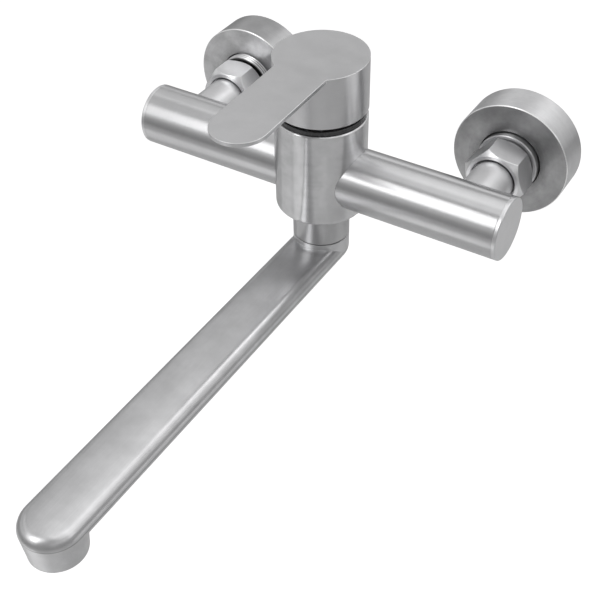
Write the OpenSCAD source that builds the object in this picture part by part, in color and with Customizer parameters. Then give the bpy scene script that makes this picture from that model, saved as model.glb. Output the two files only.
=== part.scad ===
// Commercial wall faucet: two wall inlets, a single-lever valve and a long swivelling spout.
// Millimetres. The origin lies on the wall, midway between the two inlets, at the height of the arms.
// +Z is up, the front faces -Y, and the wall is the plane y = 0.

/* [Inlets] */
// Distance between the two inlet axes
inlet_centres = 150; // [146:1:156]
// Distance from the wall to the valve's axis
wall_to_axis = 68; // [67:0.5:72]
// How far the wall end of each connector lies below its nut
connector_offset = 6; // [4:0.5:7]
// Outer diameter of a G1/2 pipe thread, the wall end of each connector
pipe_thread_d = 20.96; // [20:0.01:22]
// Length of the wall end behind the wall's face
stub_len = 16; // [10:1:25]

/* [Escutcheons] */
// Diameter of the cups against the wall
escutcheon_d = 58.4; // [54:0.2:64]
// Depth of the cups
escutcheon_depth = 18; // [17.5:0.5:18.5]
// Hole in the front of the cups
escutcheon_hole_d = 31.6; // [29:0.2:32]
// Wall thickness of the cups
escutcheon_wall = 1.2; // [1:0.1:1.4]

/* [Union nuts] */
// Width of the nuts across their flats
nut_af = 27; // [26:0.5:30]
// Length of the nuts
nut_len = 15.5; // [14.5:0.5:16]
// Distance from the wall to the front face of the nuts
nut_front = 37.9; // [37.5:0.1:38.3]
// Turn of the left nut about its axis, in degrees
left_nut_turn = 0; // [0:1:60]
// Turn of the right nut about its axis, in degrees
right_nut_turn = 14; // [0:1:60]
// Diameter of the union thread
union_thread_d = 24; // [23.5:0.1:24.2]

/* [Arms] */
// Diameter of the arms
arm_d = 30; // [29:0.5:32]
// Wall thickness of the arms
arm_wall = 2.2; // [1.5:0.1:2.5]
// Length of each arm beyond its inlet's middle, with the end cap
arm_end = 21.6; // [19:0.2:28]
// Thickness of the flat end caps
end_cap_t = 2; // [1.5:0.5:3]
// Diameter of the inlet tails
tail_d = 20.8; // [20.4:0.1:20.9]

/* [Body] */
// Diameter of the valve body
body_d = 44; // [43.8:0.1:45]
// Height of the body's rim above the arms' axis
body_top = 30.4; // [30:0.1:31]
// Depth of the body's foot below the arms' axis
body_foot = 19.4; // [19:0.1:21]
// Radius of the body's lower edge
foot_round = 2.5; // [1:0.1:3]

/* [Neck and spout] */
// Diameter of the neck under the body
neck_d = 27.9; // [27.9:0.1:28.4]
// Visible length of the neck
neck_len = 17.3; // [17:0.1:19]
// Distance from the valve's axis to the outlet's axis
spout_reach = 204.4; // [150:0.2:260]
// Width of the flat-oval spout
spout_w = 27.8; // [27.4:0.1:27.8]
// Height of the flat-oval spout
spout_h = 12.2; // [11.8:0.1:12.6]
// Radius of the spout's round sides, less than half its height so that its faces are crowned
spout_side_r = 5.5; // [5:0.1:5.6]
// Wall thickness of the spout
spout_wall = 1.6; // [1.4:0.1:1.7]
// Height of the socket's ring above the spout's top face
socket_step = 2.4; // [2:0.1:3]
// Diameter of the outlet's rim
outlet_d = 25; // [24.6:0.1:25.8]
// Diameter of the outlet where it leaves the spout's underside
outlet_root_d = 26.6; // [26:0.1:27]
// Length of the outlet below the spout's underside
outlet_drop = 8.6; // [7:0.1:9]

/* [Handle] */
// Diameter of the handle's cap
cap_d = 44.2; // [44:0.1:45]
// Height of the gap between the body's rim and the cap
cap_gap = 4; // [4:0.1:4.4]
// Height of the cap at the valve's axis
cap_h = 25.6; // [25:0.1:27]
// Wall thickness of the cap's skirt
cap_wall = 1.4; // [1.2:0.1:1.5]
// Width of the lever blade
blade_w = 26.2; // [22:0.2:28]
// Distance from the valve's axis to the centre of the blade's round tip
blade_reach = 64.8; // [50:0.2:80]
// Thickness of the lever blade
blade_t = 1.8; // [1.6:0.1:3]
// Downward slope of the handle's top face towards the tip, in degrees
top_slope = 1.3; // [0:0.1:2]

/* [Hidden] */
$fn = 96;

steel = [0.72, 0.72, 0.73];
bright_steel = [0.80, 0.80, 0.81];
rubber_black = [0.06, 0.06, 0.07];
dark_grey = [0.16, 0.16, 0.17];
ceramic_white = [0.92, 0.91, 0.88];
plastic_white = [0.88, 0.88, 0.86];

// Clearances: a running fit, a loose fit, a gap between parts that swing past each other,
// and the overrun of every cut
running_gap = 0.05;
loose_gap = 0.3;
swing_gap = 0.4;
overrun = 1;
half_turn = 180;
quarter_turn = 90;
hex_sides = 6;

// Body and its water ways
body_r = body_d / 2;
rim_bevel = 0.5;
cartridge_d = 35;
cartridge_r = cartridge_d / 2;
chamber_r = cartridge_r + loose_gap;
chamber_floor = -1;
nut_thread_r = 19;
nut_thread_len = 9.8;
port_r = 3;
port_x = 6.2;
port_y = -4.2;
outlet_port_r = 3.8;
outlet_port_y = 6.4;
gallery_r = 3.2;
gallery_z = -6.5;
gallery_wall = 3;
foot_pocket_r = 12.4;
foot_pocket_len = 6.6;

// Arms and tails
arm_r = arm_d / 2;
arm_bore_r = arm_r - arm_wall;
inlet_x = inlet_centres / 2;
arm_reach = inlet_x + arm_end;
cap_plug_len = 3;
edge_bevel = 0.4;
tail_r = tail_d / 2;
tail_bore_r = 8.6;

// Union nuts, washers and connectors, measured from the wall
nut_corner_r = nut_af / 2 / cos(half_turn / hex_sides);
nut_face_r = nut_af / 2 - edge_bevel;
nut_bevel_len = 2.4;
nut_shoulder_t = 3.4;
nut_play = 0.5;
nut_hole_r = tail_r + nut_play;
nut_mouth_bevel = 0.6;
union_thread_r = union_thread_d / 2;
flange_step = 1.2;
flange_r = tail_r + flange_step;
flange_front = nut_front - nut_shoulder_t;
flange_t = 2.9;
washer_front = flange_front - flange_t;
inlet_washer_t = 2;
inlet_washer_bore_r = 6.5;
connector_front = washer_front - inlet_washer_t;
connector_bore_r = 8;
thread_pitch = 1.5;
thread_depth = 0.8;
thread_end = 21.4;
collar_play = 0.6;
collar_r = escutcheon_hole_d / 2 - collar_play;
collar_end = 9;
left_collar_rings = 3;
right_collar_rings = 0;
offset_front = 15.5;
offset_r = 12;
offset_end = 3;
elbow_front = 13.5;
elbow_back = 10.5;
pipe_r = pipe_thread_d / 2;
pipe_bore_r = 7.5;
pipe_bevel = 1;

// Escutcheons
escutcheon_r = escutcheon_d / 2;
escutcheon_hole_r = escutcheon_hole_d / 2;
seal_t = 1.2;
seal_r = 17.5;

// Neck, spigot and the pieces that let the spout turn
neck_r = neck_d / 2;
neck_top = -body_foot;
neck_bottom = neck_top - neck_len;
neck_bore_r = 10.55;
spigot_r = 10;
spigot_bore_r = 7.2;
spigot_end_gap = 0.8;
spigot_top = neck_top + foot_pocket_len - spigot_end_gap;
thrust_washer_t = 0.5;
thrust_washer_inset = 0.5;
thrust_washer_r = neck_r - thrust_washer_inset;
socket_top = neck_bottom - running_gap - thrust_washer_t;
slip_ring_r = neck_bore_r - running_gap;
slip_ring_t = 3;
slip_ring_groove_r = 9.2;
upper_slip_drop = 4;
lower_slip_rise = 1;
upper_slip_z = spigot_top - upper_slip_drop;
lower_slip_z = socket_top + lower_slip_rise;
o_ring_t = 1.9;
o_ring_r = neck_bore_r - running_gap - o_ring_t / 2;
o_ring_groove_r = o_ring_r - o_ring_t / 2;
o_ring_groove_w = 2.4;
o_ring_z = [-20.5, -24.8];
screw_z = -30;
screw_groove_w = 3.6;
screw_groove_r = 8.6;
set_screw_r = 2.5;
set_screw_tip_r = 1.4;
set_screw_len = 3;
set_screw_tip_len = 1.6;
set_screw_hex_r = 1.44;
set_screw_hex_len = 1.8;
set_screw_sink = 0.3;

// Spout
spout_r = spout_w / 2;
spout_top = socket_top - socket_step;
spout_mid = spout_top - spout_h / 2;
spout_side_x = spout_r - spout_side_r;
crown_rise = spout_h / 2 - spout_side_r;
crown_drop = (spout_side_x * spout_side_x - crown_rise * crown_rise) / (crown_rise * 2);
crown_r = crown_drop + spout_h / 2;
spout_bottom = spout_top - spout_h;
spigot_seat = 2.4;
socket_bevel = 0.2;
outlet_r = outlet_d / 2;
outlet_root_r = outlet_root_d / 2;
outlet_y = -spout_reach;
outlet_bottom = spout_bottom - outlet_drop;
outlet_bevel = 0.5;

// Aerator
aerator_thread_r = 11;
aerator_seat_r = 9.5;
aerator_web = 1.2;
aerator_seat = spout_bottom + spout_wall - aerator_web;
aerator_gasket_t = 1.6;
aerator_lip = 0.2;
aerator_r = aerator_thread_r;
aerator_bore_r = 9.4;
aerator_lip_r = 8.7;
aerator_lip_t = 1;
aerator_slot_w = 2.4;
aerator_slot_depth = 0.9;
aerator_slots = 4;
insert_t = 2.4;
insert_hole_r = 0.75;
insert_pitch = 2.4;
insert_rings = 3;
screen_t = 0.6;
screen_gap = 1;
screen_hole_r = 0.6;
screen_pitch = 2;
screen_rings = 4;

// Cartridge, measured from the chamber's floor up
seal_stand = 0.5;
base_bottom = chamber_floor + seal_stand;
base_t = 5;
base_top = base_bottom + base_t;
disc_seat = 1.5;
fixed_disc_r = 15;
fixed_disc_t = 4;
fixed_disc_z = base_top - disc_seat;
port_seal_t = 2;
port_seal_lip = 1.4;
moving_disc_r = 11;
moving_disc_t = 3.5;
moving_disc_z = fixed_disc_z + fixed_disc_t + running_gap;
moving_pocket_r = 9.5;
moving_pocket_depth = 1.8;
moving_pocket_front = -0.6;
carrier_z = moving_disc_z + moving_disc_t;
carrier_t = 4.4;
carrier_r = 12;
carrier_w = 19;
stem_ball_r = 2.4;
pivot_z = 21;
stem_lower_len = 7.7;
ball_z = pivot_z - stem_lower_len;
rail_w = 2.7;
rail_len = 15;
rail_bottom = carrier_z + loose_gap;
turret_flange_z = carrier_z + carrier_t + swing_gap;
turret_flange_r = 15.2;
turret_flange_t = 1.9;
housing_ledge_z = turret_flange_z + turret_flange_t + loose_gap;
housing_bore_r = 15.8;
housing_shoulder_z = 21;
housing_neck_r = 13;
housing_neck_top = 31;
turret_r = 10.5;
turret_bore_r = turret_r + running_gap;
turret_top = 31.4;
stem_w = 5;
stem_slot_w = stem_w + loose_gap * 2;
stem_d = 6;
stem_head_w = 7;
stem_head_z = 36;
stem_top = 50;
stem_neck_r = 1.7;
stem_body_z = 16.4;
lift_max = 25;
pin_r = 1.5;
pin_len = 19.6;
cartridge_nut_bore_r = 13.3;
cartridge_nut_hex_af = 33;
cartridge_nut_hex_r = cartridge_nut_hex_af / 2 / cos(half_turn / hex_sides);
cartridge_nut_sink = 1;
cartridge_nut_hex_z = body_top - cartridge_nut_sink;
cartridge_nut_top = 32.4;

// Trim ring in the gap under the handle
trim_r = 20.9;
trim_bore_r = 19.9;
trim_t = 2;

// Handle
cap_r = cap_d / 2;
cap_bottom = body_top + cap_gap;
top_z = cap_bottom + cap_h;
cap_top_t = 3.5;
cap_bore_r = cap_r - cap_wall;
hub_r = 8;
hub_bottom = 41;
hub_socket_w = stem_head_w + running_gap * 2;
stem_end_gap = 1;
hub_socket_top = stem_top + stem_end_gap;
handle_screw_z = 46;
handle_screw_len = 4;
plug_r = 3.2;
plug_len = 2.6;
blade_r = blade_w / 2;

// A solid turned from its outline, standing on the valve's axis
module on_axis(z = 0) {
    translate([0, -wall_to_axis, z]) children();
}

// Turns a shape that stands along Z so that it points at the wall
module towards_wall() {
    rotate([-quarter_turn, 0, 0]) children();
}

// Turns a shape that stands along Z so that it points along X
module along_x() {
    rotate([0, quarter_turn, 0]) children();
}

// Places a shape on one inlet's axis, at a distance in front of the wall
module at_inlet(side, distance) {
    translate([side * inlet_x, -distance, 0]) towards_wall() children();
}

// A plain ring
module ring(outer, inner, height) {
    difference() {
        cylinder(r = outer, h = height);
        translate([0, 0, -overrun]) cylinder(r = inner, h = height + overrun * 2);
    }
}

// A disc with both edges bevelled
module bevelled_disc(radius, height, bevel) {
    rotate_extrude() polygon([
        [0, 0], [radius - bevel, 0], [radius, bevel],
        [radius, height - bevel], [radius - bevel, height], [0, height]
    ]);
}

// A block centred on X and Y that stands on z = 0
module block(width, depth, height) {
    translate([-width / 2, -depth / 2, 0]) cube([width, depth, height]);
}

// Outline of the body: a straight barrel with a rounded foot and a bevelled rim
module body_outline() {
    foot_z = -body_foot;
    translate([0, foot_z + foot_round])
        square([body_r, body_top + body_foot - foot_round - rim_bevel]);
    translate([0, foot_z]) square([body_r - foot_round, foot_round]);
    translate([body_r - foot_round, foot_z + foot_round]) circle(foot_round);
    polygon([
        [0, body_top - rim_bevel], [body_r, body_top - rim_bevel],
        [body_r - rim_bevel, body_top], [0, body_top]
    ]);
}

// Water way from one arm to its port in the chamber's floor
module inlet_gallery(side) {
    translate([side * port_x, port_y, gallery_z])
        cylinder(r = port_r, h = chamber_floor - gallery_z + overrun);
    translate([side * gallery_wall, port_y, gallery_z])
        rotate([0, side * quarter_turn, 0]) cylinder(r = gallery_r, h = body_r);
}

module valve_body() {
    pocket_top = -body_foot + foot_pocket_len;
    color(steel) on_axis() difference() {
        rotate_extrude() body_outline();
        translate([0, 0, chamber_floor])
            cylinder(r = chamber_r, h = body_top - chamber_floor + overrun);
        translate([0, 0, body_top - nut_thread_len])
            cylinder(r = nut_thread_r, h = nut_thread_len + overrun);
        translate([0, 0, -body_foot - overrun])
            cylinder(r = foot_pocket_r, h = foot_pocket_len + overrun);
        translate([0, outlet_port_y, pocket_top - overrun])
            cylinder(r = outlet_port_r, h = chamber_floor - pocket_top + overrun * 2);
        for (side = [-1, 1]) inlet_gallery(side);
    }
}

// One arm: a tube that fits the body's barrel and lets water in from its tail
module arm(side) {
    tube_len = arm_reach - end_cap_t;
    color(steel) difference() {
        on_axis() rotate([0, side * quarter_turn, 0]) cylinder(r = arm_r, h = tube_len);
        on_axis() rotate([0, side * quarter_turn, 0])
            cylinder(r = arm_bore_r, h = tube_len + overrun);
        on_axis(-body_foot) cylinder(r = body_r, h = body_foot + body_top);
        at_inlet(side, wall_to_axis) cylinder(r = tail_bore_r, h = arm_d);
    }
}

module left_arm() { arm(-1); }

module right_arm() { arm(1); }

// Flat disc on the end of an arm, with a plug that centres it in the tube
module end_cap(side) {
    color(bright_steel) on_axis() rotate([0, side * quarter_turn, 0]) {
        translate([0, 0, arm_reach - end_cap_t]) rotate_extrude() polygon([
            [0, 0], [arm_r, 0], [arm_r, end_cap_t - edge_bevel],
            [arm_r - edge_bevel, end_cap_t], [0, end_cap_t]
        ]);
        translate([0, 0, arm_reach - end_cap_t - cap_plug_len])
            cylinder(r = arm_bore_r, h = cap_plug_len);
    }
}

module left_end_cap() { end_cap(-1); }

module right_end_cap() { end_cap(1); }

// Tube from the back of an arm into the union nut, with the flange that the nut pulls on
module inlet_tail(side) {
    tail_start = wall_to_axis - tail_r;
    tail_len = tail_start - washer_front;
    color(steel) difference() {
        union() {
            at_inlet(side, tail_start) cylinder(r = tail_r, h = tail_len);
            at_inlet(side, flange_front) cylinder(r = flange_r, h = flange_t);
        }
        at_inlet(side, wall_to_axis) cylinder(r = tail_bore_r, h = wall_to_axis);
        on_axis() along_x() cylinder(r = arm_r, h = arm_reach * 2, center = true);
    }
}

module left_inlet_tail() { inlet_tail(-1); }

module right_inlet_tail() { inlet_tail(1); }

// Hexagon nut, bevelled at both ends, with a shoulder behind the tail's flange
module union_nut(side, turn) {
    color(bright_steel) at_inlet(side, nut_front) rotate([0, 0, turn]) difference() {
        intersection() {
            cylinder(r = nut_corner_r, h = nut_len, $fn = hex_sides);
            rotate_extrude() polygon([
                [0, 0], [nut_face_r, 0], [nut_corner_r, nut_bevel_len],
                [nut_corner_r, nut_len - nut_bevel_len], [nut_face_r, nut_len], [0, nut_len]
            ]);
        }
        translate([0, 0, -overrun]) cylinder(r = nut_hole_r, h = nut_len);
        translate([0, 0, nut_shoulder_t]) cylinder(r = union_thread_r, h = nut_len);
        translate([0, 0, -overrun]) cylinder(
            r1 = nut_hole_r + nut_mouth_bevel + overrun, r2 = nut_hole_r,
            h = nut_mouth_bevel + overrun);
    }
}

module left_union_nut() { union_nut(-1, left_nut_turn); }

module right_union_nut() { union_nut(1, right_nut_turn); }

// Flat washer squeezed between a tail and its connector
module inlet_washer(side) {
    color(rubber_black) at_inlet(side, washer_front)
        ring(flange_r, inlet_washer_bore_r, inlet_washer_t);
}

module left_inlet_washer() { inlet_washer(-1); }

module right_inlet_washer() { inlet_washer(1); }

// Outline of a threaded stretch as plain rings, from z = 0 up
module thread_outline(radius, length) {
    turns = floor(length / thread_pitch);
    steps = [for (i = [0 : turns - 1]) each [
        [radius - thread_depth, i * thread_pitch],
        [radius, i * thread_pitch + thread_pitch / 2]
    ]];
    root = radius - thread_depth;
    polygon(concat([[0, 0]], steps, [[root, turns * thread_pitch], [root, length], [0, length]]));
}

// Half of a connector's collar, with thread rings at its front where they show
module collar_outline(rings) {
    length = thread_end - collar_end;
    steps = [for (i = [0 : 1 : rings - 1]) each [
        [collar_r - thread_depth, i * thread_pitch],
        [collar_r, i * thread_pitch + thread_pitch / 2]
    ]];
    root = collar_r - (rings > 0 ? thread_depth : edge_bevel);
    polygon(concat([[0, 0]], steps, [[root, rings * thread_pitch],
        [collar_r, rings * thread_pitch + edge_bevel], [collar_r, length], [0, length]]));
}

// Connector from the union nut to the pipe in the wall, whose two ends are out of line
module connector(side, rings) {
    color(steel) difference() {
        union() {
            at_inlet(side, connector_front) rotate_extrude()
                thread_outline(union_thread_r, connector_front - thread_end);
            at_inlet(side, thread_end) rotate_extrude() collar_outline(rings);
            translate([0, 0, -connector_offset]) {
                at_inlet(side, offset_front) cylinder(r = offset_r, h = offset_front - offset_end);
                at_inlet(side, offset_end) rotate_extrude() polygon([
                    [0, 0], [pipe_r, 0], [pipe_r, offset_end + stub_len - pipe_bevel],
                    [pipe_r - pipe_bevel, offset_end + stub_len], [0, offset_end + stub_len]
                ]);
            }
        }
        at_inlet(side, connector_front + overrun)
            cylinder(r = connector_bore_r, h = connector_front + overrun - elbow_back);
        translate([0, 0, -connector_offset]) at_inlet(side, elbow_front)
            cylinder(r = pipe_bore_r, h = elbow_front + stub_len + overrun);
    }
}

module left_connector() { connector(-1, left_collar_rings); }

module right_connector() { connector(1, right_collar_rings); }

// Flat rubber ring behind the hole of an escutcheon
module escutcheon_seal(side) {
    color(rubber_black) at_inlet(side, escutcheon_depth - escutcheon_wall)
        ring(seal_r, collar_r, seal_t);
}

module left_escutcheon_seal() { escutcheon_seal(-1); }

module right_escutcheon_seal() { escutcheon_seal(1); }

// Deep cup that covers the hole in the wall
module escutcheon(side) {
    color(steel) at_inlet(side, escutcheon_depth) difference() {
        rotate_extrude() polygon([
            [0, 0], [escutcheon_r - edge_bevel, 0], [escutcheon_r, edge_bevel],
            [escutcheon_r, escutcheon_depth], [0, escutcheon_depth]
        ]);
        translate([0, 0, escutcheon_wall])
            cylinder(r = escutcheon_r - escutcheon_wall, h = escutcheon_depth);
        translate([0, 0, -overrun]) cylinder(r = escutcheon_hole_r, h = escutcheon_depth);
    }
}

module left_escutcheon() { escutcheon(-1); }

module right_escutcheon() { escutcheon(1); }

// Sleeve under the body in which the spout's spigot turns
module swivel_neck() {
    color(steel) on_axis(neck_bottom) difference() {
        union() {
            bevelled_disc(neck_r, neck_len, edge_bevel / 2);
            cylinder(r = foot_pocket_r, h = neck_len + foot_pocket_len);
        }
        translate([0, 0, -overrun])
            cylinder(r = neck_bore_r, h = neck_len + foot_pocket_len + overrun * 2);
        translate([0, 0, screw_z - neck_bottom]) towards_wall()
            cylinder(r = set_screw_r, h = neck_r + overrun);
    }
}

// Grub screw at the back of the neck, whose tip runs in the spigot's groove
module spout_set_screw() {
    screw_end = neck_r - set_screw_sink;
    color(steel) on_axis(screw_z) towards_wall() difference() {
        union() {
            translate([0, 0, screw_end - set_screw_len])
                cylinder(r = set_screw_r, h = set_screw_len);
            translate([0, 0, screw_end - set_screw_len - set_screw_tip_len])
                cylinder(r = set_screw_tip_r, h = set_screw_tip_len);
        }
        translate([0, 0, screw_end - set_screw_hex_len])
            cylinder(r = set_screw_hex_r, h = set_screw_hex_len + overrun, $fn = hex_sides);
    }
}

// A groove round the spigot
module spigot_groove(z, width, inner) {
    translate([0, 0, z - width / 2]) ring(spigot_r + overrun, inner, width);
}

// Hollow stem of the spout, with grooves for its rings and for the grub screw
module spout_spigot() {
    color(bright_steel) on_axis() difference() {
        translate([0, 0, socket_top - spigot_seat])
            cylinder(r = spigot_r, h = spigot_top - socket_top + spigot_seat);
        translate([0, 0, socket_top - spigot_seat - overrun])
            cylinder(r = spigot_bore_r, h = spigot_top - socket_top + spigot_seat + overrun * 2);
        spigot_groove(upper_slip_z + slip_ring_t / 2, slip_ring_t, slip_ring_groove_r);
        spigot_groove(lower_slip_z + slip_ring_t / 2, slip_ring_t, slip_ring_groove_r);
        for (z = o_ring_z) spigot_groove(z, o_ring_groove_w, o_ring_groove_r);
        spigot_groove(screw_z, screw_groove_w, screw_groove_r);
    }
}

module spigot_o_rings() {
    color(rubber_black) on_axis() for (z = o_ring_z)
        translate([0, 0, z]) rotate_extrude() translate([o_ring_r, 0]) circle(o_ring_t / 2);
}

module slip_rings() {
    color(plastic_white) on_axis() for (z = [upper_slip_z, lower_slip_z])
        translate([0, 0, z]) ring(slip_ring_r, slip_ring_groove_r, slip_ring_t);
}

module thrust_washer() {
    color(dark_grey) on_axis(socket_top)
        ring(thrust_washer_r, spigot_r, thrust_washer_t);
}

// The spout's section: two round sides, and a crowned face above and below that runs into them
module crowned_oval(inset) {
    side_r = spout_side_r - inset;
    crown_half = spout_side_x * (1 + side_r / (crown_r - spout_side_r));
    for (side = [-1, 1]) translate([side * spout_side_x, 0]) circle(side_r);
    intersection() {
        translate([0, -crown_drop]) circle(crown_r - inset);
        translate([0, crown_drop]) circle(crown_r - inset);
        square([crown_half * 2, spout_h * 2], center = true);
    }
}

// A straight bar of that section from the valve's axis to the outlet's axis
module crowned_bar(inset) {
    translate([0, 0, spout_mid]) rotate([quarter_turn, 0, 0])
        linear_extrude(height = spout_reach) crowned_oval(inset);
}

// The same section turned about an axis, as a round end of the bar
module crowned_round(inset) {
    rotate_extrude() intersection() {
        crowned_oval(inset);
        translate([0, -spout_h]) square([spout_w, spout_h * 2]);
    }
}

// Only the half of a round end above or below its middle
module half_round(side) {
    intersection() {
        crowned_round(0);
        translate([-spout_w, -spout_w, side > 0 ? 0 : -spout_h])
            cube([spout_w * 2, spout_w * 2, spout_h]);
    }
}

// Round socket on the spout's root, bevelled at its top edge
module spigot_socket() {
    socket_h = socket_top - spout_mid;
    rotate_extrude() polygon([
        [0, 0], [spout_r, 0], [neck_r, socket_bevel], [neck_r, socket_h - socket_bevel],
        [neck_r - socket_bevel, socket_h], [0, socket_h]
    ]);
}

module spout() {
    color(steel) on_axis() difference() {
        union() {
            crowned_bar(0);
            translate([0, outlet_y, spout_mid]) half_round(1);
            translate([0, outlet_y, outlet_bottom]) rotate_extrude() polygon([
                [0, 0], [outlet_r - outlet_bevel, 0], [outlet_r, outlet_bevel],
                [outlet_root_r, outlet_drop], [spout_r, spout_mid - outlet_bottom],
                [0, spout_mid - outlet_bottom]
            ]);
            translate([0, 0, spout_mid]) half_round(-1);
            translate([0, 0, spout_mid]) spigot_socket();
        }
        crowned_bar(spout_wall);
        translate([0, 0, spout_mid]) crowned_round(spout_wall);
        translate([0, outlet_y, spout_mid]) crowned_round(spout_wall);
        translate([0, outlet_y, aerator_seat])
            cylinder(r = aerator_seat_r, h = spout_mid - aerator_seat);
        translate([0, outlet_y, outlet_bottom - overrun])
            cylinder(r = aerator_thread_r, h = aerator_seat - outlet_bottom + overrun);
        translate([0, 0, spout_mid])
            cylinder(r = spigot_bore_r, h = socket_top - spout_mid);
        translate([0, 0, socket_top - spigot_seat])
            cylinder(r = spigot_r, h = spigot_seat + overrun);
    }
}

// Places a shape on the outlet's axis at a height
module at_outlet(z) {
    on_axis(z) translate([0, outlet_y, 0]) children();
}

module aerator_gasket() {
    color(rubber_black) at_outlet(aerator_seat - aerator_gasket_t)
        ring(aerator_thread_r - loose_gap, aerator_lip_r, aerator_gasket_t);
}

// Threaded sleeve of the aerator, with notches for its key
module aerator_housing() {
    sleeve_h = aerator_seat - aerator_gasket_t - outlet_bottom - aerator_lip;
    color(bright_steel) at_outlet(outlet_bottom + aerator_lip) difference() {
        cylinder(r = aerator_r, h = sleeve_h);
        translate([0, 0, aerator_lip_t]) cylinder(r = aerator_bore_r, h = sleeve_h);
        translate([0, 0, -overrun]) cylinder(r = aerator_lip_r, h = sleeve_h);
        for (i = [0 : aerator_slots - 1]) rotate([0, 0, i * 2 * half_turn / aerator_slots])
            translate([aerator_bore_r, -aerator_slot_w / 2, -overrun])
                cube([outlet_r, aerator_slot_w, aerator_slot_depth + overrun]);
    }
}

// A disc with rings of holes round a middle hole
module pierced_disc(radius, height, hole_r, pitch, rings) {
    difference() {
        cylinder(r = radius, h = height);
        translate([0, 0, -overrun]) {
            cylinder(r = hole_r, h = height + overrun * 2);
            for (i = [1 : rings]) for (j = [0 : hex_sides * i - 1])
                rotate([0, 0, j * 2 * half_turn / (hex_sides * i)])
                    translate([i * pitch, 0, 0]) cylinder(r = hole_r, h = height + overrun * 2);
        }
    }
}

module aerator_insert() {
    color(plastic_white) at_outlet(outlet_bottom + aerator_lip + aerator_lip_t)
        pierced_disc(aerator_bore_r, insert_t, insert_hole_r, insert_pitch, insert_rings);
}

module aerator_screen() {
    color(bright_steel) at_outlet(outlet_bottom + aerator_lip + aerator_lip_t + insert_t + screen_gap)
        pierced_disc(aerator_bore_r, screen_t, screen_hole_r, screen_pitch, screen_rings);
}

// Places a shape at each of the two inlet ports
module at_inlet_ports() {
    for (side = [-1, 1]) translate([side * port_x, port_y, 0]) children();
}

// The three ports as one cut, from a height up
module ports(z, height) {
    translate([0, 0, z]) {
        at_inlet_ports() cylinder(r = port_r, h = height);
        translate([0, outlet_port_y, 0]) cylinder(r = outlet_port_r, h = height);
    }
}

module cartridge_base() {
    seal_pocket = port_seal_t - seal_stand;
    color(plastic_white) on_axis() difference() {
        translate([0, 0, base_bottom]) cylinder(r = cartridge_r, h = base_t);
        translate([0, 0, fixed_disc_z]) cylinder(r = fixed_disc_r, h = base_t);
        ports(base_bottom - overrun, base_t + overrun * 2);
        translate([0, 0, base_bottom - overrun]) {
            at_inlet_ports() cylinder(r = port_r + port_seal_lip, h = seal_pocket + overrun);
            translate([0, outlet_port_y, 0])
                cylinder(r = outlet_port_r + port_seal_lip, h = seal_pocket + overrun);
        }
    }
}

module port_seals() {
    color(rubber_black) on_axis(chamber_floor) {
        at_inlet_ports() ring(port_r + port_seal_lip, port_r, port_seal_t);
        translate([0, outlet_port_y, 0])
            ring(outlet_port_r + port_seal_lip, outlet_port_r, port_seal_t);
    }
}

module fixed_ceramic_disc() {
    color(ceramic_white) on_axis() difference() {
        translate([0, 0, fixed_disc_z]) cylinder(r = fixed_disc_r, h = fixed_disc_t);
        ports(fixed_disc_z - overrun, fixed_disc_t + overrun * 2);
    }
}

// Disc whose pocket joins the ports: it slides over them as the lever lifts
module moving_ceramic_disc() {
    color(ceramic_white) on_axis(moving_disc_z) difference() {
        cylinder(r = moving_disc_r, h = moving_disc_t);
        intersection() {
            translate([0, 0, -overrun])
                cylinder(r = moving_pocket_r, h = moving_pocket_depth + overrun);
            translate([-moving_disc_r, moving_pocket_front, -overrun])
                cube([moving_disc_r * 2, moving_disc_r, moving_pocket_depth + overrun]);
        }
    }
}

// Plate on the moving disc, with flats for the rails and a hole for the stem's ball
module disc_carrier() {
    color(dark_grey) on_axis(carrier_z) difference() {
        intersection() {
            cylinder(r = carrier_r, h = carrier_t);
            block(carrier_w, carrier_r * 2, carrier_t);
        }
        cylinder(r = stem_ball_r + swing_gap, h = carrier_t + overrun);
    }
}

module cartridge_housing() {
    color(plastic_white) on_axis() difference() {
        union() {
            translate([0, 0, base_top]) cylinder(r = cartridge_r, h = housing_shoulder_z - base_top);
            translate([0, 0, housing_shoulder_z])
                cylinder(r = housing_neck_r, h = housing_neck_top - housing_shoulder_z);
        }
        translate([0, 0, base_top - overrun])
            cylinder(r = housing_bore_r, h = housing_ledge_z - base_top + overrun);
        translate([0, 0, housing_ledge_z])
            cylinder(r = turret_bore_r, h = housing_neck_top - housing_ledge_z + overrun);
    }
}

// Room for the stem in the turret, from upright to fully lifted
module stem_slot() {
    above = turret_top - pivot_z + overrun;
    below = pivot_z - turret_flange_z + overrun;
    half_depth = stem_d / 2 / cos(lift_max) + swing_gap;
    rear_top = half_depth + above * tan(lift_max);
    front_bottom = half_depth + below * tan(lift_max);
    translate([-stem_slot_w / 2, 0, pivot_z]) rotate([quarter_turn, 0, quarter_turn])
        linear_extrude(height = stem_slot_w) polygon([
            [-half_depth, above], [-half_depth, 0], [-front_bottom, -below],
            [half_depth, -below], [half_depth, 0], [rear_top, above]
        ]);
}

// Part of the cartridge that turns with the lever and carries its pin and the carrier's rails
module cartridge_turret() {
    color(dark_grey) on_axis() difference() {
        union() {
            translate([0, 0, turret_flange_z]) cylinder(r = turret_flange_r, h = turret_flange_t);
            translate([0, 0, turret_flange_z]) cylinder(r = turret_r, h = turret_top - turret_flange_z);
            for (side = [-1, 1])
                translate([side * (carrier_w / 2 + loose_gap + rail_w / 2), 0, rail_bottom])
                    block(rail_w, rail_len, turret_flange_z - rail_bottom + turret_flange_t / 2);
        }
        stem_slot();
        translate([0, 0, pivot_z]) along_x()
            cylinder(r = pin_r, h = turret_r * 2 + overrun * 2, center = true);
    }
}

module stem_pin() {
    color(bright_steel) on_axis(pivot_z) along_x() cylinder(r = pin_r, h = pin_len, center = true);
}

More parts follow.
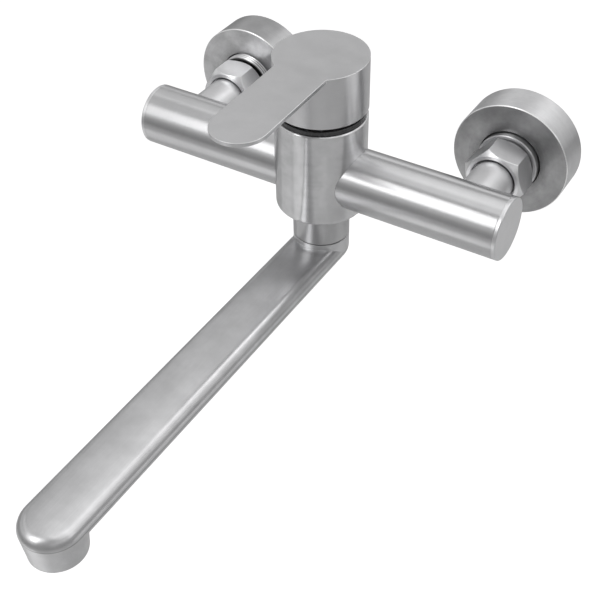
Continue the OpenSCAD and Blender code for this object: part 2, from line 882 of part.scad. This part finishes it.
// Metal stem that the handle sits on, with a ball that moves the carrier
module lever_stem() {
    color(bright_steel) on_axis() difference() {
        union() {
            translate([0, 0, stem_head_z]) block(stem_head_w, stem_head_w, stem_top - stem_head_z);
            translate([0, 0, stem_body_z]) block(stem_w, stem_d, stem_head_z - stem_body_z);
            translate([0, 0, ball_z]) cylinder(r = stem_neck_r, h = stem_body_z - ball_z);
            translate([0, 0, ball_z]) sphere(r = stem_ball_r);
        }
        translate([0, 0, pivot_z]) along_x()
            cylinder(r = pin_r + running_gap, h = stem_w + overrun * 2, center = true);
    }
}

// Ring nut that screws into the body and presses the cartridge down
module cartridge_nut() {
    color(bright_steel) on_axis() difference() {
        union() {
            translate([0, 0, housing_shoulder_z])
                cylinder(r = nut_thread_r, h = cartridge_nut_hex_z - housing_shoulder_z);
            translate([0, 0, cartridge_nut_hex_z]) cylinder(
                r = cartridge_nut_hex_r, h = cartridge_nut_top - cartridge_nut_hex_z, $fn = hex_sides);
        }
        translate([0, 0, housing_shoulder_z - overrun]) cylinder(
            r = cartridge_nut_bore_r, h = cartridge_nut_top - housing_shoulder_z + overrun * 2);
    }
}

module trim_ring() {
    color(dark_grey) on_axis(body_top) difference() {
        bevelled_disc(trim_r, trim_t, edge_bevel / 2);
        translate([0, 0, -overrun]) cylinder(r = trim_bore_r, h = trim_t + overrun * 2);
    }
}

// Everything above the handle's sloping top face
module above_top_face() {
    slab = blade_reach * 2 + cap_d;
    translate([0, 0, top_z]) rotate([top_slope, 0, 0])
        translate([-slab / 2, -slab / 2, 0]) cube([slab, slab, cap_h]);
}

// Flat blade with straight sides and a round tip, just under the top face
module lever_blade() {
    translate([0, 0, top_z]) rotate([top_slope, 0, 0]) translate([0, 0, -blade_t])
        linear_extrude(height = blade_t) {
            translate([-blade_r, -blade_reach]) square([blade_w, blade_reach]);
            translate([0, -blade_reach]) circle(blade_r);
        }
}

// Handle: a hollow cap with a hub for the stem, and the blade in one piece with it
module lever_handle() {
    color(steel) on_axis() difference() {
        union() {
            translate([0, 0, cap_bottom]) rotate_extrude() polygon([
                [0, 0], [cap_r - edge_bevel, 0], [cap_r, edge_bevel],
                [cap_r, cap_h + overrun * 2], [0, cap_h + overrun * 2]
            ]);
            lever_blade();
        }
        above_top_face();
        difference() {
            translate([0, 0, cap_bottom - overrun])
                cylinder(r = cap_bore_r, h = cap_h - cap_top_t + overrun);
            translate([0, 0, hub_bottom]) cylinder(r = hub_r, h = cap_h);
        }
        translate([0, 0, hub_bottom - overrun])
            block(hub_socket_w, hub_socket_w, hub_socket_top - hub_bottom + overrun);
        translate([0, 0, handle_screw_z]) towards_wall() {
            cylinder(r = set_screw_r, h = hub_r + overrun);
            translate([0, 0, hub_r + overrun]) cylinder(r = plug_r, h = cap_r);
        }
    }
}

// Grub screw in the hub that holds the handle on the stem
module handle_set_screw() {
    screw_start = hub_socket_w / 2 - running_gap;
    color(steel) on_axis(handle_screw_z) towards_wall() difference() {
        translate([0, 0, screw_start]) cylinder(r = set_screw_r, h = handle_screw_len);
        translate([0, 0, screw_start + handle_screw_len - set_screw_hex_len])
            cylinder(r = set_screw_hex_r, h = set_screw_hex_len + overrun, $fn = hex_sides);
    }
}

// Plug that hides the grub screw, in the back of the cap
module handle_screw_plug() {
    color(dark_grey) on_axis(handle_screw_z) towards_wall()
        translate([0, 0, cap_r - plug_len - edge_bevel])
            bevelled_disc(plug_r, plug_len, edge_bevel / 2);
}

valve_body();
left_arm();
right_arm();
left_end_cap();
right_end_cap();
left_inlet_tail();
right_inlet_tail();
left_union_nut();
right_union_nut();
left_inlet_washer();
right_inlet_washer();
left_connector();
right_connector();
left_escutcheon_seal();
right_escutcheon_seal();
left_escutcheon();
right_escutcheon();
swivel_neck();
spout_set_screw();
spout_spigot();
spigot_o_rings();
slip_rings();
thrust_washer();
spout();
aerator_gasket();
aerator_housing();
aerator_screen();
aerator_insert();
cartridge_base();
port_seals();
fixed_ceramic_disc();
moving_ceramic_disc();
disc_carrier();
cartridge_housing();
cartridge_turret();
stem_pin();
lever_stem();
cartridge_nut();
trim_ring();
lever_handle();
handle_set_screw();
handle_screw_plug();
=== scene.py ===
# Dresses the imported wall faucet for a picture: materials, camera, studio and floor.
# Metres. The frame is the CAD's: the wall is the plane y = 0, the front faces -Y, and +Z is up.
import math

import bpy
from mathutils import Matrix, Vector


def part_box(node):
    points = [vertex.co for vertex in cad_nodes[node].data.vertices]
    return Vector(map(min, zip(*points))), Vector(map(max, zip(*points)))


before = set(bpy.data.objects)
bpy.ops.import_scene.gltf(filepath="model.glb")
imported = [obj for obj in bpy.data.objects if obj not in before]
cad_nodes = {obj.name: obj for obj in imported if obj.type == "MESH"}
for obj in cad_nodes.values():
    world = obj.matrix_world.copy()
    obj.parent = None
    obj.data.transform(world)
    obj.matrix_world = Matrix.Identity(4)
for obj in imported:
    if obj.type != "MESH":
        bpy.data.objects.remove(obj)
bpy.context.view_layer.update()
scene = bpy.context.scene

# Driving values
MM = 0.001
SIDES = ("left", "right")
INLET_X = 75 * MM
SOCKET_STEP = 2.4 * MM
SPOUT_HEIGHT = 12.2 * MM

# Camera, fitted to the edges of the real object, and the nearest and farthest that it sees
CAMERA_PLACE = Vector((225.3, -447.8, 301.8)) * MM
CAMERA_YAW = math.radians(32.14)
CAMERA_PITCH = math.radians(-40.91)
CAMERA_ROLL = math.radians(-1.06)
CAMERA_LENS = 66.70
SENSOR = 36.0
NEAREST = 0.01
FARTHEST = 50.0

# Colour of the steel, whose blue is a little above its red and green
COOL = 1.012

# Grain and clouds of the steel. The scales are those of noise, in cycles a metre.
GRAIN_FINE = 4200.0
GRAIN_LONG = 70.0
GRAIN_SHARE = 0.3
GRAIN_HEIGHT = 0.01 * MM
CLOUD_SCALE = 90.0
CLOUD_LOW = 0.38
CLOUD_HIGH = 0.62
SMUDGE_SCALE = 150.0
SMUDGE_LOW = 0.35
SMUDGE_HIGH = 0.65
WAVE_DEPTH = 0.02 * MM

# Directions in which grain stretches the highlights, a little off the axes so that none is square to a face
UPRIGHT = (0.02, 0.05, 1.0)
LEVEL = (1.0, 0.02, 0.02)
DEEP = (0.02, 1.0, 0.02)

# Softened edges. A painted highlight on them is full where the softened direction and the face's own have a
# dot product of EDGE_FULL or less, and gone from EDGE_FREE up.
EDGE_RADIUS = 0.45 * MM
EDGE_SAMPLES = 6
EDGE_FULL = 0.88
EDGE_FREE = 0.97

# Cups, with painted light on their fronts and rims and painted shade round their collars. A facing is the
# part of the surface's direction along Y, -1 for one that looks straight forward.
FRONT_FACING = -0.8
WALL_FACING = -0.6
# Painted highlight on the rim between front and wall, at this facing
RIM_FACING = -0.5
RIM_FULL = 0.36
RIM_END = 0.46
# Painted shade round the collar: its tone, the distances from the inlet's axis over which it fades out, and
# how far its edge wanders
COLLAR_SHADE_TONE = 0.62
COLLAR_SHADE_START = 18 * MM
COLLAR_SHADE_END = 24 * MM
COLLAR_SHADE_WANDER = 5 * MM
BLOTCH_SCALE = 110.0
BLOTCH_SWING = 0.16
BLOTCH_LOW = 0.3
BLOTCH_HIGH = 0.7

# Painted shade in the roots of the thread behind the left nut
THREAD_SHADE_TONE = 0.12
THREAD_ROOT = 14.4 * MM
THREAD_CREST = 15.0 * MM
THREAD_BACK = -17.0 * MM
THREAD_FADE = 0.3 * MM

# Seam round the spout, at half the height of its tube, whose top is a step below the socket's top
SEAM_TONE = 0.45
SEAM_HALF = 0.4 * MM
SEAM_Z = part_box("spout")[1][2] - SOCKET_STEP - SPOUT_HEIGHT / 2

# Moulded and machined inner parts
SPOT_SCALE = 420.0
SPOT_SWING = 0.08
SPOT_POLISH = 0.05
SPOT_DULLNESS = 0.08
SPOT_HEIGHT = 0.03 * MM
SPOT_DEPTH = 0.3

# Studio
LAMP_DISTANCE = 1.5
STUDIO_CENTRE = Vector((0, -0.11, 0))
BACKGROUND = 0.38
WHITE = (1, 1, 1, 1)
FLOOR_DROP = 0.45
FLOOR_HALF = 4.0
FLOOR_TONE = 0.65
FLOOR_GLOW = 0.6
CARD_LIFT = 10 * MM


# Small helpers for node trees

def grey(tone):
    """The steel's slightly cool grey."""
    return (tone, tone, tone * COOL)


class Tree:
    """A material's node tree, with short calls for the nodes used here."""

    def __init__(self, name):
        self.material = bpy.data.materials.new(name)
        self.material.use_nodes = True
        self.nodes = self.material.node_tree.nodes
        self.links = self.material.node_tree.links
        self.shader = self.nodes["Principled BSDF"]

    def link(self, source, target):
        self.links.new(source, target)

    def place(self, scale):
        """Object coordinates stretched along the three axes."""
        coords = self.nodes.new("ShaderNodeTexCoord").outputs["Object"]
        mapping = self.nodes.new("ShaderNodeMapping")
        mapping.inputs["Scale"].default_value = scale
        self.link(coords, mapping.inputs["Vector"])
        return mapping.outputs["Vector"]

    def noise(self, where, detail, roughness=0.5):
        """Noise at a place that is already stretched to the wanted scale."""
        node = self.nodes.new("ShaderNodeTexNoise")
        node.inputs["Scale"].default_value = 1.0
        node.inputs["Detail"].default_value = detail
        node.inputs["Roughness"].default_value = roughness
        self.link(where, node.inputs["Vector"])
        return node.outputs["Fac"]

    def clouds(self, scale, detail, roughness=0.5):
        """Noise of one scale in all directions."""
        return self.noise(self.place([scale] * 3), detail, roughness)

    def remap(self, value, low, high, start=0.0, end=1.0):
        """Goes from low to high as the value goes from start to end, and stays between them."""
        node = self.nodes.new("ShaderNodeMapRange")
        node.inputs["From Min"].default_value = start
        node.inputs["From Max"].default_value = end
        node.inputs["To Min"].default_value = low
        node.inputs["To Max"].default_value = high
        self.link(value, node.inputs["Value"])
        return node.outputs["Result"]

    def math(self, kind, first, second=0.0):
        """One operation on numbers or sockets."""
        node = self.nodes.new("ShaderNodeMath")
        node.operation = kind
        for socket, value in zip(node.inputs, (first, second)):
            if isinstance(value, (int, float)):
                socket.default_value = value
            else:
                self.link(value, socket)
        return node.outputs["Value"]

    def average(self, first, second, share):
        """The first value's share, and the rest of the second value."""
        first_part = self.math("MULTIPLY", first, share)
        second_part = self.math("MULTIPLY", second, 1 - share)
        return self.math("ADD", first_part, second_part)

    def distance(self, first, second):
        """How far two values are apart."""
        return self.math("ABSOLUTE", self.math("SUBTRACT", first, second))

    def blend(self, factor, dark, light):
        """A colour between two set ones."""
        node = self.nodes.new("ShaderNodeMix")
        node.data_type = "RGBA"
        node.inputs["A"].default_value = (*dark, 1)
        node.inputs["B"].default_value = (*light, 1)
        self.link(factor, node.inputs["Factor"])
        return node.outputs["Result"]

    def toward(self, factor, colour, tone):
        """A colour that goes over to a grey tone as the factor rises."""
        node = self.nodes.new("ShaderNodeMix")
        node.data_type = "RGBA"
        node.inputs["B"].default_value = (*grey(tone), 1)
        self.link(colour, node.inputs["A"])
        self.link(factor, node.inputs["Factor"])
        return node.outputs["Result"]

    def shaded(self, colour, share):
        """A share of a colour, where 1 keeps it and less darkens it."""
        node = self.nodes.new("ShaderNodeVectorMath")
        node.operation = "SCALE"
        self.link(colour, node.inputs[0])
        self.link(share, node.inputs["Scale"])
        return node.outputs["Vector"]

    def split(self, kind):
        """The three coordinates of a place or of the surface's direction."""
        node = self.nodes.new("ShaderNodeSeparateXYZ")
        self.link(self.nodes.new("ShaderNodeTexCoord").outputs[kind], node.inputs["Vector"])
        return [node.outputs[axis] for axis in "XYZ"]

    def rounded(self, radius):
        """The surface's direction with its edges softened."""
        node = self.nodes.new("ShaderNodeBevel")
        node.samples = EDGE_SAMPLES
        node.inputs["Radius"].default_value = radius
        return node.outputs["Normal"]

    def edge_mask(self, rounded):
        """Rises from 0 on open faces to 1 on edges, where the rounded direction leaves the face's own."""
        node = self.nodes.new("ShaderNodeVectorMath")
        node.operation = "DOT_PRODUCT"
        self.link(rounded, node.inputs[0])
        self.link(self.nodes.new("ShaderNodeNewGeometry").outputs["Normal"], node.inputs[1])
        return self.remap(node.outputs["Value"], 1.0, 0.0, EDGE_FULL, EDGE_FREE)

    def bump(self, height, distance, strength, normal=None):
        """The surface's direction, or the given one, tilted by a height."""
        node = self.nodes.new("ShaderNodeBump")
        node.inputs["Distance"].default_value = distance
        node.inputs["Strength"].default_value = strength
        self.link(height, node.inputs["Height"])
        if normal:
            self.link(normal, node.inputs["Normal"])
        return node.outputs["Normal"]


# Places, marks, painted light and painted shade on the steel

def grain_scale(across):
    """Stretches noise so that the lines of the grain follow one another along the named axes."""
    return [GRAIN_FINE if axis in across else GRAIN_LONG for axis in "xyz"]


def inlet_radius(tree):
    """How far a point is from the nearer inlet's axis."""
    x, _, z = tree.split("Object")
    across = tree.math("SUBTRACT", tree.math("ABSOLUTE", x), INLET_X)
    across_squared = tree.math("MULTIPLY", across, across)
    height_squared = tree.math("MULTIPLY", z, z)
    return tree.math("SQRT", tree.math("ADD", across_squared, height_squared))


def round_inlet(tree):
    """A place made of the distance from the nearer inlet's axis, for marks left by turning."""
    x, y, _ = tree.split("Object")
    join = tree.nodes.new("ShaderNodeCombineXYZ")
    tree.link(tree.math("MULTIPLY", inlet_radius(tree), GRAIN_FINE), join.inputs["X"])
    tree.link(tree.math("MULTIPLY", y, GRAIN_FINE), join.inputs["Y"])
    tree.link(tree.math("MULTIPLY", x, GRAIN_LONG), join.inputs["Z"])
    return join.outputs["Vector"]


def cup_light_and_blotches(front_light_share):
    """Painted light and blotches of a cup: a front lit or shaded to a share of its wall's tone, with random
    blotches, painted shade round the collar and a painted highlight on the rim.
    """
    def add(tree, colour):
        blotch = tree.clouds(BLOTCH_SCALE, detail=4.0, roughness=0.6)
        # Painted shade round the collar, whose edge wanders with the blotches
        reach = tree.math("ADD", inlet_radius(tree), tree.math("MULTIPLY", blotch, COLLAR_SHADE_WANDER))
        collar_shade = tree.remap(reach, COLLAR_SHADE_TONE, 1.0, COLLAR_SHADE_START, COLLAR_SHADE_END)
        # Painted light on the front: its tone is the given share of the wall's, raised or lowered, with
        # random blotches
        darkest, brightest = ((1 + swing) * front_light_share for swing in (-BLOTCH_SWING, BLOTCH_SWING))
        uneven = tree.remap(blotch, darkest, brightest, BLOTCH_LOW, BLOTCH_HIGH)
        facing = tree.split("Normal")[1]
        front = tree.remap(facing, 1.0, 0.0, FRONT_FACING, WALL_FACING)
        lost = tree.math("SUBTRACT", 1.0, tree.math("MULTIPLY", collar_shade, uneven))
        colour = tree.shaded(colour, tree.math("SUBTRACT", 1.0, tree.math("MULTIPLY", front, lost)))
        # Painted highlight on the rim between front and wall
        rim = tree.remap(tree.distance(facing, RIM_FACING), 1.0, 0.0, RIM_FULL, RIM_END)
        return tree.toward(rim, colour, 1.0)
    return add


def thread_root_shade(tree, colour):
    """Painted shade in the roots between the crests of a thread. The pipe behind the thread is plain."""
    roots = tree.remap(inlet_radius(tree), THREAD_SHADE_TONE, 1.0, THREAD_ROOT, THREAD_CREST)
    behind = tree.remap(tree.split("Object")[1], 0.0, 1.0, THREAD_BACK, THREAD_BACK + THREAD_FADE)
    return tree.shaded(colour, tree.math("MAXIMUM", roots, behind))


def seam_mark(tree, colour):
    """A fine dark line round the spout, where its upper and lower shells meet."""
    off_seam = tree.distance(tree.split("Object")[2], SEAM_Z)
    return tree.shaded(colour, tree.remap(off_seam, SEAM_TONE, 1.0, 0.0, SEAM_HALF))


# Materials

def steel(name, across, tone=0.60, rough=(0.29, 0.34), spread=0.0, along=None, mottle=0.05,
          wave=0.5, grain_depth=0.05, edge=EDGE_RADIUS, edge_tone=None, marks=None):
    """Satin steel. across: the axes along which the fine lines of the grain follow one another, or ring
    for turned parts. tone and mottle: its grey, and how far the clouds take it up and down.
    spread and along: how far, and in which direction, the grain stretches the highlights.
    edge_tone: the tone of a painted highlight along the edges. marks: adds a part's own marks and its
    painted light or shade."""
    tree = Tree(name)
    shader = tree.shader
    where = round_inlet(tree) if across == "ring" else tree.place(grain_scale(across))
    grain = tree.noise(where, detail=2.0)
    cloud = tree.clouds(CLOUD_SCALE, detail=5.0, roughness=0.62)
    smudge = tree.clouds(SMUDGE_SCALE, detail=3.0)
    mixed = tree.average(grain, cloud, GRAIN_SHARE)
    factor = tree.remap(mixed, 0.0, 1.0, CLOUD_LOW, CLOUD_HIGH)
    colour = tree.blend(factor, grey(tone * (1 - mottle)), grey(tone * (1 + mottle)))
    if marks:
        colour = marks(tree, colour)
    rounded = tree.rounded(edge)
    # Painted highlight: the colour of the edges is lifted towards the edge tone
    if edge_tone:
        colour = tree.toward(tree.edge_mask(rounded), colour, edge_tone)
    tree.link(colour, shader.inputs["Base Color"])
    worn = tree.average(grain, smudge, GRAIN_SHARE)
    tree.link(tree.remap(worn, *rough, SMUDGE_LOW, SMUDGE_HIGH), shader.inputs["Roughness"])
    shader.inputs["Metallic"].default_value = 1.0
    shader.inputs["Anisotropic"].default_value = spread
    if along:
        tangent = tree.nodes.new("ShaderNodeCombineXYZ")
        for axis, value in zip("XYZ", along):
            tangent.inputs[axis].default_value = value
        tree.link(tangent.outputs["Vector"], shader.inputs["Tangent"])
    wavy = tree.bump(tree.clouds(CLOUD_SCALE, detail=1.0), WAVE_DEPTH, wave, rounded)
    tree.link(tree.bump(grain, GRAIN_HEIGHT, grain_depth, wavy), shader.inputs["Normal"])
    return tree.material


def cup_steel(name, tone, front_light_share):
    """Turned steel of an escutcheon, with painted light on its front and rim and painted shade round its
    collar.
    """
    return steel(name, "ring", tone=tone, rough=(0.31, 0.37), spread=0.3, along=DEEP, mottle=0.08,
                 edge=0.3 * MM, edge_tone=1.0, marks=cup_light_and_blotches(front_light_share))


def plain_material(name, colour, rough, metal=0.0):
    """A moulded or machined inner part with a little unevenness."""
    tree = Tree(name)
    spots = tree.clouds(SPOT_SCALE, detail=3.0)
    dark = [part * (1 - SPOT_SWING) for part in colour]
    light = [part * (1 + SPOT_SWING) for part in colour]
    tree.link(tree.blend(spots, dark, light), tree.shader.inputs["Base Color"])
    dullness = tree.remap(spots, rough - SPOT_POLISH, rough + SPOT_DULLNESS)
    tree.link(dullness, tree.shader.inputs["Roughness"])
    tree.shader.inputs["Metallic"].default_value = metal
    tree.link(tree.bump(spots, SPOT_HEIGHT, SPOT_DEPTH), tree.shader.inputs["Normal"])
    return tree.material


def wear(material, *names):
    """Gives CAD nodes one material."""
    for name in names:
        slots = cad_nodes[name].data.materials
        slots.clear()
        slots.append(material)


def both(*kinds):
    """The names of the nodes of these kinds on both sides."""
    return [f"{side}_{kind}" for side in SIDES for kind in kinds]


body_steel = steel("steel_body", "z", tone=0.69, rough=(0.24, 0.26), spread=1.0, along=UPRIGHT,
                   mottle=0.11)
# The neck is the body's steel in a darker tone, painted shade for the dark it reflects under the body; its
# higher roughness is its own duller finish
neck_steel = steel("steel_neck", "z", tone=0.51, rough=(0.28, 0.31), spread=0.85, along=UPRIGHT,
                   grain_depth=0.1)
handle_steel = steel("steel_handle", "z", tone=0.64, spread=0.6, along=UPRIGHT, mottle=0.03,
                     edge_tone=1.0)
arm_steel = steel("steel_arm", "x", rough=(0.28, 0.29), spread=0.7, along=LEVEL, mottle=0.03,
                  wave=0.1, grain_depth=0.03)
cap_steel = steel("steel_end_cap", "yz", tone=0.74, mottle=0.03)
tail_steel = steel("steel_tail", "y", tone=0.72, rough=(0.38, 0.42), mottle=0.04)
# The two cups are one steel lit and shaded apart: the left one's wall is painted darker and its front
# lighter, the right one's the other way round
left_cup_steel = cup_steel("steel_left_cup", tone=0.45, front_light_share=1.35)
right_cup_steel = cup_steel("steel_right_cup", tone=0.67, front_light_share=0.54)
spout_steel = steel("steel_spout", "xz", mottle=0.07, edge=0.8 * MM, marks=seam_mark)
nut_steel = steel("steel_nut", "ring", tone=0.82, rough=(0.28, 0.32), mottle=0.04, edge=0.4 * MM,
                  edge_tone=1.0)
collar_steel = steel("steel_collar", "ring", rough=(0.28, 0.33), edge=0.2 * MM)
thread_steel = steel("steel_thread", "ring", tone=0.75, rough=(0.28, 0.33), edge=0.08 * MM,
                     marks=thread_root_shade)
dull_steel = steel("steel_inner", "y", tone=0.42, rough=(0.34, 0.40))

wear(body_steel, "valve_body")
wear(neck_steel, "swivel_neck")
wear(handle_steel, "lever_handle")
wear(arm_steel, *both("arm"))
wear(cap_steel, *both("end_cap"))
wear(left_cup_steel, "left_escutcheon")
wear(right_cup_steel, "right_escutcheon")
wear(tail_steel, *both("inlet_tail"))
wear(spout_steel, "spout")
wear(nut_steel, *both("union_nut"), "aerator_housing", "aerator_screen")
wear(thread_steel, "left_connector")
wear(collar_steel, "right_connector")
wear(dull_steel, "spout_set_screw", "handle_set_screw", "spout_spigot", "stem_pin", "cartridge_nut")

brass = plain_material("brass", (0.40, 0.27, 0.10), rough=0.3, metal=1.0)
wear(brass, "lever_stem")

black_rubber = plain_material("black_rubber", (0.018, 0.018, 0.02), rough=0.6)
wear(black_rubber, *both("inlet_washer", "escutcheon_seal"), "spigot_o_rings", "aerator_gasket",
     "port_seals")

white_plastic = plain_material("white_plastic", (0.78, 0.77, 0.74), rough=0.42)
wear(white_plastic, "slip_rings", "aerator_insert", "cartridge_base", "cartridge_housing")

dark_plastic = plain_material("dark_plastic", (0.045, 0.045, 0.047), rough=0.25)
wear(dark_plastic, "thrust_washer", "trim_ring", "disc_carrier", "cartridge_turret",
     "handle_screw_plug")

ceramic = plain_material("ceramic", (0.84, 0.81, 0.75), rough=0.12)
wear(ceramic, "fixed_ceramic_disc", "moving_ceramic_disc")


# Camera

def make_camera():
    """Points the camera by its yaw and pitch, then rolls it."""
    data = bpy.data.cameras.new("camera")
    data.lens = CAMERA_LENS
    data.sensor_width = SENSOR
    data.clip_start = NEAREST
    data.clip_end = FARTHEST
    camera = bpy.data.objects.new("camera", data)
    scene.collection.objects.link(camera)
    flat = math.cos(CAMERA_PITCH)
    ahead = Vector((-math.sin(CAMERA_YAW) * flat, math.cos(CAMERA_YAW) * flat, math.sin(CAMERA_PITCH)))
    level = Vector((math.cos(CAMERA_YAW), math.sin(CAMERA_YAW), 0))
    steep = level.cross(ahead)
    right = level * math.cos(CAMERA_ROLL) + steep * math.sin(CAMERA_ROLL)
    up = steep * math.cos(CAMERA_ROLL) - level * math.sin(CAMERA_ROLL)
    turn = Matrix((right, up, -ahead)).transposed()
    camera.matrix_world = Matrix.Translation(CAMERA_PLACE) @ turn.to_4x4()
    scene.camera = camera


make_camera()


# Lamps

def direction(azimuth, elevation):
    """The direction towards a light. Azimuth 0 is in front of the tap, 90 to its right."""
    turn, rise = math.radians(azimuth), math.radians(elevation)
    level = math.cos(rise)
    return Vector((math.sin(turn) * level, -math.cos(turn) * level, math.sin(rise)))


def chord(distance, angles):
    """The width that a pair of angles in degrees spans at a distance."""
    return 2 * distance * math.tan(math.radians(angles[1] - angles[0]) / 2)


def panel(name, width, height, brightness):
    """A flat lamp whose face has the given brightness. The camera doesn't see it."""
    data = bpy.data.lights.new(name, "AREA")
    data.shape = "RECTANGLE"
    data.size = width
    data.size_y = height
    data.energy = brightness * math.pi * data.size * data.size_y
    lamp = bpy.data.objects.new(name, data)
    scene.collection.objects.link(lamp)
    lamp.visible_camera = False
    return lamp


def softbox(name, around, upward, brightness):
    """A lamp of one brightness that fills a span of directions round the tap, in degrees."""
    azimuth, elevation = sum(around) / 2, sum(upward) / 2
    reach = LAMP_DISTANCE * math.cos(math.radians(elevation))
    lamp = panel(name, chord(reach, around), chord(LAMP_DISTANCE, upward), brightness)
    back = direction(azimuth, elevation)
    lamp.location = STUDIO_CENTRE + back * LAMP_DISTANCE
    lamp.rotation_mode = "QUATERNION"
    lamp.rotation_quaternion = back.to_track_quat("Z", "Y")


def bounce_card(name, around, away, brightness):
    """A white card that lies on the floor and throws light up, over a span of azimuths and distances."""
    azimuth, distance = sum(around) / 2, sum(away) / 2
    card = panel(name, chord(distance, around), away[1] - away[0], brightness)
    card.location = direction(azimuth, 0) * distance - Vector((0, 0, FLOOR_DROP - CARD_LIFT))
    card.rotation_euler = (math.pi, 0, math.radians(azimuth))


softbox("key", (-40, -10), (22, 58), 2.3)
softbox("front_left_band", (-100, -10), (34, 46), 0.65)
softbox("front_right_band", (-10, 80), (34, 46), 0.12)
softbox("overhead_front", (-80, 40), (72, 88), 0.45)
softbox("left_high", (-130, -50), (46, 88), 0.25)
softbox("right_high", (40, 130), (46, 88), 0.7)
softbox("rear_high", (130, 220), (46, 88), 0.62)
softbox("rear_window", (150, 170), (46, 58), 1.05)
softbox("right_rear", (90, 170), (34, 58), 0.68)
softbox("left_rear", (-150, -110), (28, 68), 0.35)
softbox("right_edge", (80, 110), (22, 34), 0.7)
softbox("right_low", (30, 120), (22, 34), 0.45)
softbox("rear_low", (120, 210), (22, 34), 0.58)
softbox("rear_horizon", (120, 180), (0, 22), 0.2)
softbox("left_horizon", (-100, -10), (10, 22), 0.42)
softbox("left_rear_horizon", (-190, -100), (10, 22), 0.42)
bounce_card("left_card", (-80, -40), (0.4, 0.8), 0.24)
bounce_card("front_left_card", (-40, -8), (0.4, 0.8), 0.5)
bounce_card("front_right_card", (0, 40), (0.42, 0.7), 0.15)
bounce_card("right_card", (90, 120), (0.8, 2.0), 0.55)

world = bpy.data.worlds.new("studio")
scene.world = world
world.use_nodes = True
world.node_tree.nodes["Background"].inputs["Color"].default_value = WHITE
world.node_tree.nodes["Background"].inputs["Strength"].default_value = BACKGROUND


# Floor

def make_floor():
    """A pale matt floor. Only the camera sees its glow, so the glow doesn't light the tap."""
    mesh = bpy.data.meshes.new("floor")
    near, far = -FLOOR_HALF, FLOOR_HALF
    corners = [(near, near), (far, near), (far, far), (near, far)]
    mesh.from_pydata([(x, y, -FLOOR_DROP) for x, y in corners], [], [(0, 1, 2, 3)])
    floor = bpy.data.objects.new("floor", mesh)
    scene.collection.objects.link(floor)
    tree = Tree("floor_white")
    tree.shader.inputs["Base Color"].default_value = [FLOOR_TONE] * 3 + [1]
    tree.shader.inputs["Roughness"].default_value = 1.0
    tree.shader.inputs["Specular IOR Level"].default_value = 0.0
    tree.shader.inputs["Emission Color"].default_value = WHITE
    seen = tree.nodes.new("ShaderNodeLightPath").outputs["Is Camera Ray"]
    tree.link(tree.math("MULTIPLY", seen, FLOOR_GLOW), tree.shader.inputs["Emission Strength"])
    mesh.materials.append(tree.material)


make_floor()

scene.view_settings.view_transform = "Standard"
